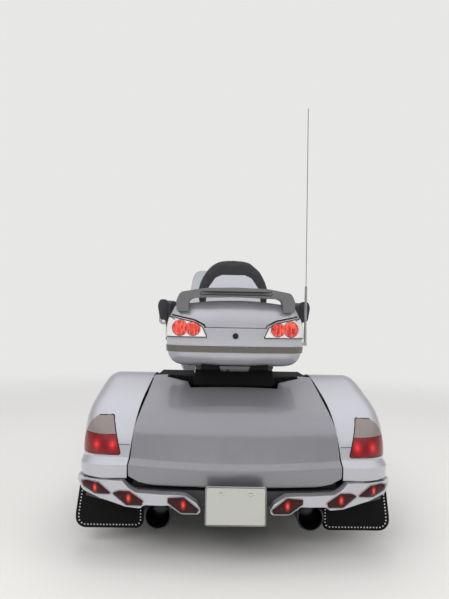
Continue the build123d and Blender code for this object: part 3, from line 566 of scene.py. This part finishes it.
# Simple forms
class Shape:
    """Vertices and faces of one piece, gathered from several simple forms."""

    def __init__(self):
        self.verts, self.faces, self.slots = [], [], []

    def add(self, verts, faces, slot=0):
        start = len(self.verts)
        self.verts += [Vector(v) for v in verts]
        self.faces += [tuple(start + i for i in face) for face in faces]
        self.slots += [slot] * len(faces)

    def piece(self, name, skins, body, slot=None, replaces=()):
        mesh = bpy.data.meshes.new(name)
        mesh.from_pydata(self.verts, [], self.faces)
        for skin in skins:
            mesh.materials.append(skin)
        for polygon, number in zip(mesh.polygons, self.slots):
            polygon.material_index = number
            polygon.use_smooth = True
        obj = bpy.data.objects.new(name, mesh)
        bpy.context.scene.collection.objects.link(obj)
        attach(obj, body)
        if replaces:
            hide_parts(*replaces)
        return obj


def square_to(axis):
    # the axis as a unit vector, and two more square to it
    axis = Vector(axis).normalized()
    side = axis.cross(Vector((0, 0, 1)) if abs(axis.z) < 0.9 else Vector((1, 0, 0))).normalized()
    return axis, side, axis.cross(side)


def lathe(shape, profile, centre, axis, steps=32, slot=0):
    # profile is (radius, height along the axis); a radius of 0 closes the end
    axis, side, other = square_to(axis)
    verts, faces = [], []
    for radius, height in profile:
        for step in range(steps):
            turn = 2 * pi * step / steps
            spoke = side * cos(turn) + other * sin(turn)
            verts.append(Vector(centre) + axis * height + spoke * max(radius, 1e-5))
    for row in range(len(profile) - 1):
        a, b = row * steps, (row + 1) * steps
        for step in range(steps):
            after = (step + 1) % steps
            faces.append((a + step, a + after, b + after, b + step))
    shape.add(verts, faces, slot)


def stud(shape, centre, axis, radius, height, slot=0):
    # a round head, let into what carries it
    top = [(radius * cos(a), height * sin(a)) for a in (0, 0.4, 0.8, 1.2, pi / 2)]
    lathe(shape, [(radius, -height * 0.6)] + top, centre, axis, steps=10, slot=slot)


def hex_bolt(shape, centre, axis, radius, height):
    # a washer with a six-sided head on it
    washer, washer_top = radius * 1.35, height * 0.2
    lathe(shape, [(washer, 0), (washer, height * 0.18), (radius, washer_top)], centre, axis, steps=24)
    head = [(radius, washer_top), (radius, height * 0.9), (radius * 0.86, height), (0, height)]
    lathe(shape, head, centre, axis, steps=6)


def tube(shape, points, radius, closed=False, steps=8, slot=0):
    points = [Vector(p) for p in points]
    count = len(points)
    rings = []
    normal = None
    for i, point in enumerate(points):
        before = points[(i - 1) % count] if closed or i else point
        after = points[(i + 1) % count] if closed or i < count - 1 else point
        along = (after - before).normalized()
        if normal is None:
            normal = square_to(along)[1]
        normal = (normal - along * normal.dot(along)).normalized()
        other = along.cross(normal)
        turns = [2 * pi * k / steps for k in range(steps)]
        rings.append([point + (normal * cos(t) + other * sin(t)) * radius for t in turns])
    faces = []
    for i in range(count if closed else count - 1):
        a, b = i * steps, (i + 1) % count * steps
        for k in range(steps):
            faces.append((a + k, a + (k + 1) % steps, b + (k + 1) % steps, b + k))
    if not closed:
        faces.append(tuple(range(steps - 1, -1, -1)))
        faces.append(tuple((count - 1) * steps + k for k in range(steps)))
    shape.add([v for ring in rings for v in ring], faces, slot)


def on_circle(x, y, z, radius, count):
    # places round an axle, the first one straight ahead of it
    turns = [2 * pi * k / count for k in range(count)]
    return [(x, y + radius * cos(t), z + radius * sin(t)) for t in turns]


# Outlines
def rounded(points, radius, step=0.004):
    # a closed outline in metres, sampled evenly, from corners and radii in millimetres;
    # radius is one value, or a list with one for each corner
    corners = [Vector(p).to_2d() / 1000 for p in points]
    radii = [r / 1000 for r in (radius if isinstance(radius, list) else [radius] * len(corners))]
    arc = 6
    path = []
    for i, corner in enumerate(corners):
        back = (corners[i - 1] - corner).normalized()
        ahead = (corners[(i + 1) % len(corners)] - corner).normalized()
        half = acos(max(-1, min(1, back.dot(ahead)))) / 2
        reach = radii[i] / tan(half) if half > 0.01 else 0
        start, end = corner + back * reach, corner + ahead * reach
        centre = corner + (back + ahead).normalized() * (radii[i] / sin(half)) if reach else corner
        for k in range(arc + 1):
            chord = start.lerp(end, k / arc)
            path.append(centre + (chord - centre).normalized() * radii[i] if reach else corner)
    return resample(path, step)


def resample(path, step):
    lengths = [(path[(i + 1) % len(path)] - path[i]).length for i in range(len(path))]
    total = sum(lengths)
    count = max(8, round(total / step))
    out, at, i = [], 0.0, 0
    for k in range(count):
        want = total * k / count
        while at + lengths[i] < want:
            at += lengths[i]
            i += 1
        part = (want - at) / lengths[i] if lengths[i] else 0
        out.append(path[i].lerp(path[(i + 1) % len(path)], part))
    return out


def grown(path, amount):
    # the outline moved outwards, or inwards for a negative amount, whichever way round it runs
    area = sum(path[i - 1].x * path[i].y - path[i].x * path[i - 1].y for i in range(len(path)))
    turn = 1 if area > 0 else -1
    out = []
    for i, point in enumerate(path):
        along = (path[(i + 1) % len(path)] - path[i - 1]).normalized()
        out.append(point + Vector((along.y, -along.x)) * amount * turn)
    return out


def left_of(points):
    return [(-x, z) for x, z in reversed(points)]


def on_side(side, path):
    return [(side * x, z) for x, z in path]


def disc(side, x, z, radius, steps=40):
    # a circle on one side of the vehicle, from millimetres
    turns = [2 * pi * k / steps for k in range(steps)]
    return [(side * (x + radius * cos(a)) / 1000, (z + radius * sin(a)) / 1000) for a in turns]


def opened(line):
    # a line with a gap in it, made to start after the gap
    gap = max(range(len(line)), key=lambda i: (Vector(line[i]) - Vector(line[i - 1])).length)
    return line[gap:] + line[:gap]


def inside(x, z, outline):
    hit = False
    for i in range(len(outline)):
        x1, z1 = outline[i - 1]
        x2, z2 = outline[i]
        if (z1 > z) != (z2 > z) and x < (x2 - x1) * (z - z1) / (z2 - z1) + x1:
            hit = not hit
    return hit


def edge_distance(x, z, outline):
    point = Vector((x, z))
    best = 9.0
    for i in range(len(outline)):
        a, b = Vector(outline[i - 1]), Vector(outline[i])
        span = b - a
        along = max(0.0, min(1.0, (point - a).dot(span) / max(span.length_squared, 1e-12)))
        best = min(best, (a + span * along - point).length)
    return best


# Forms that follow a surface
def surface(*names):
    verts, faces = [], []
    for name in names:
        mesh = frame["nodes"][name].data
        start = len(verts)
        verts += [v.co.copy() for v in mesh.vertices]
        faces += [tuple(start + i for i in p.vertices) for p in mesh.polygons]
    return BVHTree.FromPolygons(verts, faces)


def onto(tree, x, z, lift, look=1):
    # the place on the surface at (x, z), lifted off it, seen from behind or, with look -1, from the front
    place, normal, _, _ = tree.ray_cast(Vector((x, -2 * look, z)), Vector((0, look, 0)))
    if place is None:
        place, normal, _, _ = tree.find_nearest(Vector((x, -1.1 * look, z)))
    if normal.y * look > 0:
        normal = -normal
    return place + normal * lift


def traced(tree, line, lift, look=1):
    return [onto(tree, x, z, lift, look) for x, z in line]


def filled(outline, spacing):
    # the outline's points with a grid of points inside it, and half its smaller side
    xs, zs = [p[0] for p in outline], [p[1] for p in outline]
    points = [Vector(p) for p in outline]
    x = min(xs) + spacing / 2
    while x < max(xs):
        z = min(zs) + spacing / 2
        while z < max(zs):
            if inside(x, z, outline) and edge_distance(x, z, outline) > spacing / 2:
                points.append(Vector((x, z)))
            z += spacing
        x += spacing
    return points, min(max(xs) - min(xs), max(zs) - min(zs)) / 2


def patch(shape, outline, tree, lift, crown, spacing, thick, look=1):
    # a thin plate that follows the surface inside the outline, crowned by that much away from its edge
    points, half_width = filled(outline, spacing)
    flat, _, tris, _, _, _ = delaunay_2d_cdt(points, [], [list(range(len(outline)))], 1, 1e-6)
    front, back = [], []
    for x, z in flat:
        inwards = min(1.0, edge_distance(x, z, outline) / half_width)
        rise = crown * sqrt(max(0.0, 1 - (1 - inwards) ** 2))
        front.append(onto(tree, x, z, lift + rise, look))
        back.append(onto(tree, x, z, lift - thick, look))
    total = len(front)
    faces = [tuple(f) for f in tris] + [tuple(total + i for i in reversed(f)) for f in tris]
    sides = [(a, b) for f in tris for a, b in zip(f, (*f[1:], f[0]))]
    shared = set(sides)
    faces += [(b, a, total + a, total + b) for a, b in sides if (b, a) not in shared]
    shape.add(front + back, faces)


def copy_of(name, skins, body, piece_name, pick=lambda centre: 0):
    # a piece with a node's own shape and one or more materials, picked by where each face lies
    mesh = frame["nodes"][name].data.copy()
    mesh.materials.clear()
    for skin in skins:
        mesh.materials.append(skin)
    for polygon in mesh.polygons:
        polygon.material_index = pick(polygon.center)
    obj = bpy.data.objects.new(piece_name, mesh)
    bpy.context.scene.collection.objects.link(obj)
    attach(obj, body)
    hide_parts(name)
    return obj


# Panels with flowing shading
def flow(mesh, angle, reach):
    # shading that runs on smoothly from face to face; the shape stays as it is
    tree = BVHTree.FromPolygons([v.co for v in mesh.vertices], [p.vertices for p in mesh.polygons])
    limit = cos(radians(angle))
    normals = [None] * len(mesh.loops)
    for polygon in mesh.polygons:
        own = polygon.normal
        _, first, second = square_to(own)
        for loop in polygon.loop_indices:
            spot = mesh.vertices[mesh.loops[loop].vertex_index].co
            total = own.copy()
            for step in range(-FLOW_STEPS, FLOW_STEPS + 1):
                for along in (first, second):
                    _, near, _, gap = tree.find_nearest(spot + along * (reach * step / FLOW_STEPS))
                    if gap < reach / 2 and near.dot(own) > limit:
                        total += near * (1 - abs(step) / (FLOW_STEPS + 1))
            normals[loop] = total.normalized()
    for polygon in mesh.polygons:
        polygon.use_smooth = True
    mesh.normals_split_custom_set(normals)


def flowing_panels(m):
    for name, body, finish, angle, reach in FLOWING:
        piece = copy_of(name, [m[finish]], body, f"{name}_panel")
        flow(piece.data, angle, reach)


# Rear body details
def rear_lamps(m):
    # red lenses with a clear top, and dark joints round and across them
    edges = Shape()
    outline = [p for p in rounded(TAIL_LAMP, 10) if p.x < TAIL_EDGE_END]
    split = [(x, TAIL_SPLIT) for x in TAIL_SPLIT_X]
    for side, turn in (("right", 1), ("left", -1)):
        name = f"tail_lamp_{side}"
        piece = copy_of(name, [m["tail_red"], m["tail_clear"]], "chassis", f"{name}_lens",
                        lambda centre: int(centre.z > TAIL_SPLIT))
        tree = surface(f"fender_{side}", name)
        lamp = surface(name)
        line = traced(tree, on_side(turn, outline), lift=0.0002)
        line = [place for place in line if lamp.find_nearest(place)[3] < LAMP_NEAR]
        tube(edges, opened(line), radius=0.0014, steps=6)
        line = traced(tree, on_side(turn, split), lift=0.0002)
        tube(edges, line, radius=0.0012, steps=6)
    edges.piece("tail_lamp_edges", [m["soot"]], "chassis")


def bumper_details(m):
    tree = surface("bumper", "bumper_lamps")
    rims, lenses = Shape(), Shape()
    for points in DIAMONDS:
        for outline in (points, left_of(points)):
            line = rounded(outline, 2.5)
            rim = traced(tree, grown(line, 0.0024), lift=0.0008)
            tube(rims, rim, radius=0.0022, closed=True)
            glass = [tuple(p) for p in grown(line, 0.001)]
            patch(lenses, glass, tree, lift=0.0012, crown=0.0022, spacing=0.007, thick=0.002)
    rims.piece("bumper_lamp_surrounds", [m["rim_paint"]], "chassis")
    lenses.piece("bumper_lamp_lenses", [m["red_lens"]], "chassis", "red_lens")


def top_box_lamps(m):
    tree = surface("trunk_lamps")
    lenses, rims = Shape(), Shape()
    edge = [p for p in grown(rounded(TOP_LAMP, 5), -0.0035) if p.x < BOX_EDGE_END]
    for side in (1, -1):
        for (x, z, radius), lift in zip(BOX_DISCS, (0.0006, 0.0003)):
            circle = disc(side, x, z, radius)
            patch(lenses, circle, tree, lift, crown=0.0042, spacing=0.005, thick=0.003)
            tube(rims, traced(tree, circle, lift=0.0004), radius=0.0011, closed=True, steps=6, slot=1)
        gasket = traced(tree, opened(on_side(side, edge)), lift=0.0006)
        tube(rims, gasket, radius=0.0026, steps=6)
    lenses.piece("top_box_round_lenses", [m["box_red"]], "chassis", "red_lens")
    rims.piece("top_box_lamp_edges", [m["black_rubber"], m["rim_paint"]], "chassis")
    copy_of("trunk_lamps", [m["box_clear"]], "chassis", "top_box_lamp_housings")


def top_box_fittings(m):
    backwards = (0, -1, 0)
    lock = Shape()
    at = onto(surface("trunk_box"), 0, LOCK_Z, lift=-0.001)
    lathe(lock, LOCK_BODY, at, backwards)
    lathe(lock, LOCK_CORE, at, backwards, steps=24, slot=1)
    lock.piece("top_box_lock", [m["black_plastic"], m["dark_tip"]], "chassis")
    light = Shape()
    housing = surface("trunk_light_block")
    patch(light, rounded(PLATE_LIGHT, 4), housing, lift=0.0035, crown=0.002, spacing=0.008, thick=0.004)
    light.piece("plate_light_lens", [m["smoked"]], "chassis")
    brake = Shape()
    spoiler = surface("spoiler")
    patch(brake, rounded(BRAKE_BAR, 6), spoiler, lift=0.006, crown=0.002, spacing=0.01, thick=0.005)
    brake.piece("high_brake_lens", [m["smoked"]], "trunk_lid")


def flap_studs(m):
    # a row of studs along the sides and foot of each flap
    studs = Shape()
    line = rounded(FLAP, FLAP_ROUND, 0.002)
    limit = [tuple(p) for p in line]
    inner_top, outer_top = STUD_TOPS
    last = None
    for p in grown(line, -STUD_INSET):
        if edge_distance(p.x, p.y, limit) <= STUD_CLEAR or p.y >= outer_top:
            continue
        if last is not None and (p - last).length < STUD_PITCH:
            continue
        if p.y < inner_top or p.x > STUD_OUTER_X:
            last = p
            for side in (-1, 1):
                stud(studs, (side * p.x, FLAP_Y, p.y), (0, -1, 0), radius=0.0042, height=0.003)
    studs.piece("flap_studs", [m["bright"]], "chassis")


def plate_details(m):
    edge = Shape()
    line = rounded(PLATE_EDGE, 8)
    tube(edge, [(x, PLATE_Y - 0.0003, z) for x, z in line], radius=0.0013, closed=True, steps=6)
    edge.piece("plate_edge_line", [m["black_rubber"]], "chassis")
    bolts = Shape()
    for x in (-PLATE_BOLT_X, PLATE_BOLT_X):
        hex_bolt(bolts, (x, PLATE_Y + 0.0002, PLATE_BOLT_Z), (0, -1, 0), radius=0.006, height=0.005)
    bolts.piece("plate_bolts_heads", [m["bright"]], "chassis")


def exhaust_ends(m):
    # a dark cup inside each tip, and dark metal on the system where it nears the tips
    ends = Shape()
    x, y, z = TIP_AT
    for side in (-1, 1):
        lathe(ends, TIP_LINING, (side * x, y, z), (0, 1, 0), steps=40)
    ends.piece("exhaust_end_linings", [m["dark_tip"]], "chassis")
    copy_of("exhaust", [m["chrome"], m["dark_tip"]], "chassis", "exhaust_system",
            lambda centre: int(centre.y < DARK_TIPS_Y))


def fender_joints(m):
    # the fender's panel joint between the boot lid and the tail lamp
    lines = Shape()
    for name, side in (("fender_right", 1), ("fender_left", -1)):
        line = traced(surface(name), on_side(side, FENDER_JOINT), lift=0.0004)
        tube(lines, line, radius=0.0012, steps=6)
    lines.piece("fender_joint_lines", [m["soot"]], "chassis")


# Front details
def headlamp_details(m):
    tree = surface("headlamps")
    glass, rings = Shape(), Shape()
    for side in (-1, 1):
        for x, z, radius in HEADLAMP_DISCS:
            circle = disc(side, x, z, radius)
            patch(glass, circle, tree, lift=0.0004, crown=0.003, spacing=0.006, thick=0.002, look=-1)
            tube(rings, traced(tree, circle, lift=0.0005, look=-1), radius=0.0018, closed=True, steps=6)
    glass.piece("headlamp_bowls", [m["box_clear"]], "chassis", "clear_lens")
    rings.piece("headlamp_rings", [m["chrome"]], "chassis", "chrome")
    copy_of("headlamps", [m["smoked"]], "chassis", "headlamp_housings")


def mirror_details(m):
    tree = surface("mirrors")
    glass, signals = Shape(), Shape()
    pane = rounded(MIRROR_PANE, 14)
    strip = rounded(SIGNAL_STRIP, 9)
    for side in (-1, 1):
        patch(glass, on_side(side, pane), tree, lift=0.0016, crown=0.0008, spacing=0.01, thick=0.001)
        patch(signals, on_side(side, strip), tree, lift=0.001, crown=0.002, spacing=0.007, thick=0.002,
              look=-1)
    glass.piece("mirror_glasses", [m["mirror"]], "chassis")
    signals.piece("turn_signal_lenses", [m["amber"]], "chassis")


def dials(m):
    # faces with ticks and a needle at the bottom of the four wells
    tree = surface("dash")
    faces = Shape()
    up = DIAL_FACING.normalized()
    across = Vector((1, 0, 0))
    along = up.cross(across)
    aim = across * cos(NEEDLE_ANGLE) + along * sin(NEEDLE_ANGLE)
    for x in DIAL_X:
        mouth = Vector((x, DIAL_Y, DIAL_Z)) + up * 0.05
        floor, _, _, _ = tree.ray_cast(mouth, -up)
        lathe(faces, DIAL_BEZEL, floor, up, steps=40, slot=3)
        lathe(faces, DIAL_FACE, floor, up, steps=40)
        marks = floor + up * 0.0014
        for k in range(DIAL_TICKS):
            turn = radians(TICK_START + TICK_STEP * k)
            ray = across * cos(turn) + along * sin(turn)
            near = 0.028 if k % 2 else 0.025
            tube(faces, [marks + ray * near, marks + ray * TICK_END_R], radius=0.0006, steps=4, slot=1)
        hub = floor + up * 0.002
        tube(faces, [hub - aim * 0.006, hub + aim * 0.028], radius=0.0009, steps=4, slot=2)
        stud(faces, floor + up * 0.0015, up, radius=0.004, height=0.0015, slot=2)
    faces.piece("dash_dials", [m["dial"], m["dial_mark"], m["needle"], m["bright"]], "chassis")


def engine_bolts(m):
    tree = surface("engine_heads")
    bolts = Shape()
    for side in (-1, 1):
        for y, z in ROCKER_BOLTS:
            spot, _, _, _ = tree.ray_cast(Vector((side * ROCKER_X, y, z)), Vector((-side, 0, 0)))
            if spot:
                seat = spot - Vector((side * 0.002, 0, 0))
                hex_bolt(bolts, seat, (side, 0, 0), radius=0.0055, height=0.006)
    bolts.piece("rocker_cover_bolts", [m["bright"]], "chassis")


# Soft pieces
def applied(obj):
    # the mesh with its modifiers, as plain data
    graph = bpy.context.evaluated_depsgraph_get()
    mesh = bpy.data.meshes.new_from_object(obj.evaluated_get(graph))
    obj.modifiers.clear()
    obj.data = mesh


def smooth_mesh(mesh, rounds, offset):
    bm = bmesh.new()
    bm.from_mesh(mesh)
    for _ in range(rounds):
        bmesh.ops.smooth_vert(
            bm, verts=bm.verts, factor=0.5, use_axis_x=True, use_axis_y=True, use_axis_z=True,
        )
    bm.normal_update()
    for vert in bm.verts:
        vert.co += vert.normal * offset
    bm.to_mesh(mesh)
    bm.free()


def swell(obj, cap):
    # blows the pad up with cloth pressure and limits how far each point may move
    start = [v.co.copy() for v in obj.data.vertices]
    cloth = obj.modifiers.new("swell", "CLOTH")
    cloth.settings.use_pressure = True
    cloth.settings.uniform_pressure_force = SWELL_PRESSURE
    cloth.settings.quality = SWELL_QUALITY
    cloth.settings.effector_weights.gravity = 0
    scene = bpy.context.scene
    for number in range(1, SWELL_FRAMES + 1):
        scene.frame_set(number)
    applied(obj)
    scene.frame_set(1)
    for vert, rest in zip(obj.data.vertices, start):
        move = vert.co - rest
        if move.length > cap:
            vert.co = rest + move.normalized() * cap


def sew(mesh, facing, place):
    # presses a channel into the side that faces that way, on the left and the right of the middle
    normals = [vert.normal.copy() for vert in mesh.vertices]
    for vert, normal in zip(mesh.vertices, normals):
        if normal.dot(Vector(facing)) > CHANNEL_FACING:
            gap = abs(abs(vert.co.x) - place) / CHANNEL_HALF
            vert.co -= normal * CHANNEL_DEPTH * exp(-gap * gap)


def cushion(m, name, node, facing, place, cap, shrink, rounds, voxel):
    mesh = frame["nodes"][node].data.copy()
    obj = bpy.data.objects.new(name, mesh)
    bpy.context.scene.collection.objects.link(obj)
    remesh = obj.modifiers.new("voxels", "REMESH")
    remesh.mode = "VOXEL"
    remesh.voxel_size = voxel
    applied(obj)
    smooth_mesh(obj.data, rounds, -shrink)
    swell(obj, cap)
    finer = obj.modifiers.new("finer", "SUBSURF")
    finer.levels = finer.render_levels = 1
    applied(obj)
    if facing:
        sew(obj.data, facing, place)
    obj.data.materials.clear()
    obj.data.materials.append(m["vinyl"])
    for polygon in obj.data.polygons:
        polygon.use_smooth = True
    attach(obj, "chassis")
    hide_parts(node)


def soft_pieces(m):
    for row in CUSHIONS:
        cushion(m, *row)


# Wheels
def tyre_section(width, rim_radius, grooves):
    # bead, sidewall with two ribs, shoulder and tread, as (distance from the middle plane, radius)
    half = width / 2
    side = [
        (half - 0.016, rim_radius - 0.004), (half - 0.009, rim_radius + 0.010),
        (half - 0.004, rim_radius + 0.024), (half - 0.001, rim_radius + 0.040),
        (half - 0.0015, rim_radius + 0.042), (half, (rim_radius + TYRE_R) / 2),
        (half - 0.001, TYRE_R - 0.052), (half - 0.0025, TYRE_R - 0.050), (half - 0.005, TYRE_R - 0.034),
        (half - 0.010, TYRE_R - 0.022), (half * 0.86, TYRE_R - 0.013), (half * 0.80, TYRE_R - 0.0085),
    ]
    across = sorted({0.0, TREAD_EDGE} | {place + wall for place in grooves for wall in GROOVE_WALLS})
    crown = [(half * v, TYRE_R - TREAD_FALL * (v / 0.7) ** 2) for v in across]
    right = side + crown[::-1]
    return right + [(-x, radius) for x, radius in reversed(right) if x > 0]


def sunk(across, radius, step, grooves):
    # how deep the tread is cut there: by a groove round it, or by a cross cut outside the last groove
    if any(abs(across - place) < GROOVE_HALF for place in grooves):
        return GROOVE_DEPTH
    outside = across > grooves[-1] + GROOVE_HALF and radius > TYRE_R - TREAD_HEIGHT
    return CUT_DEPTH if outside and step % PITCH_STEPS in CUT_STEPS else 0


def tyre_piece(m, name, body, width, rim_radius, grooves):
    section = tyre_section(width, rim_radius, grooves)
    hub_x, hub_y, hub_z = HUBS[body]
    steps = PITCHES * PITCH_STEPS
    verts, faces = [], []
    for step in range(steps):
        turn = 2 * pi * step / steps
        for x, radius in section:
            phase = step + (PITCH_STEPS // 2 if x < 0 else 0)
            low = radius - sunk(abs(x) / (width / 2), radius, phase, grooves)
            verts.append((hub_x + x, hub_y + low * cos(turn), hub_z + low * sin(turn)))
    columns = len(section)
    for step in range(steps):
        a, b = step * columns, (step + 1) % steps * columns
        for c in range(columns - 1):
            faces.append((a + c, b + c, b + c + 1, a + c + 1))
        faces.append((a + columns - 1, b + columns - 1, b, a))
    shape = Shape()
    shape.add(verts, faces)
    tyre = shape.piece(f"{name}_tread", [m["tyre_rubber"]], body, "tyre_rubber", replaces=(name,))
    for polygon in tyre.data.polygons:
        middle = polygon.center - Vector(HUBS[body])
        polygon.use_smooth = sqrt(middle.y ** 2 + middle.z ** 2) < TYRE_R - SMOOTH_BELOW


def rear_wheel(m, name, side):
    body = f"rear_wheel_{name}"
    x, y, z = HUBS[body]
    outwards = (side, 0, 0)
    tyre_piece(m, f"rear_tyre_{name}", body, *REAR_TYRE)
    fittings = Shape()
    face = x + side * NUT_FACE
    for spot in on_circle(face, y, z, NUT_CIRCLE, NUTS):
        hex_bolt(fittings, spot, outwards, radius=0.0085, height=0.014)
    lathe(fittings, HUB_CAP, (face, y, z), outwards, steps=40, slot=1)
    tube(fittings, [(x + side * out, y, z + up) for out, up in VALVE], radius=0.004, steps=10, slot=2)
    fittings.piece(f"rear_wheel_{name}_fittings", [m["bright"], m["chrome"], m["black_rubber"]], body)


def wheels(m):
    rear_wheel(m, "right", 1)
    rear_wheel(m, "left", -1)
    tyre_piece(m, "front_tyre", "front_wheel", *FRONT_TYRE)
    front = Shape()
    _, y, z = HUBS["front_wheel"]
    for side in (-1, 1):
        for spot in on_circle(side * DISC_FACE, y, z, DISC_CIRCLE, DISC_BOLTS):
            stud(front, spot, (side, 0, 0), radius=0.005, height=0.003)
    front.piece("front_disc_bolts", [m["bright"]], "front_wheel")


materials = make_materials()
dress_nodes(materials)
make_camera()
make_world()
make_floor()
make_lamps()
bpy.context.scene.view_settings.view_transform = "Standard"

for add_pieces in (
    flowing_panels, rear_lamps, bumper_details, top_box_lamps, top_box_fittings, flap_studs, plate_details,
    exhaust_ends, fender_joints, headlamp_details, mirror_details, dials, engine_bolts, soft_pieces, wheels,
):
    add_pieces(materials)
